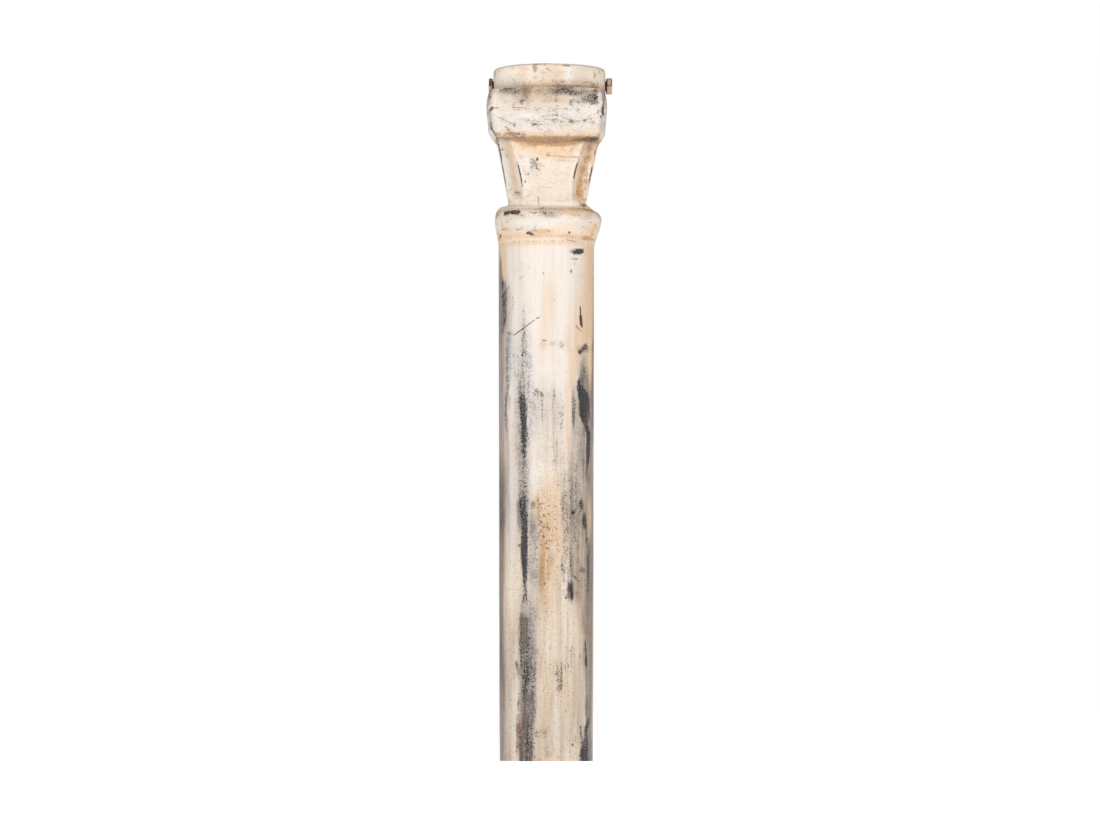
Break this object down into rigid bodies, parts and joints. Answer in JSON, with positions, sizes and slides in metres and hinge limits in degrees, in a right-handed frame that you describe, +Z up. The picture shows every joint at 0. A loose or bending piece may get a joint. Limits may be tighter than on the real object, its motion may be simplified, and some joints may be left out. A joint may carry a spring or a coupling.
{
  "type": "cast iron column",
  "caption": "Round cast iron column shaft with a bead, a fluted square neck, a bowed square collar and a round socket rim held by hex bolts.",
  "frame": {"origin": "centre of the cut foot, on the axis of the shaft", "axes": "+Z up along the shaft, -Y towards the viewer of the picture, bolts on the X axis"},
  "size_m": [0.1577, 0.1518, 0.864],
  "materials": {
    "painted_iron": "chipped and stained cream-white gloss paint over dark iron",
    "bolt_iron": "rusty, with remains of cream paint"
  },
  "bodies": {
    "root": {"column": "painted_iron", "bolt_left": "bolt_iron", "bolt_right": "bolt_iron"}
  },
  "joints": []
}
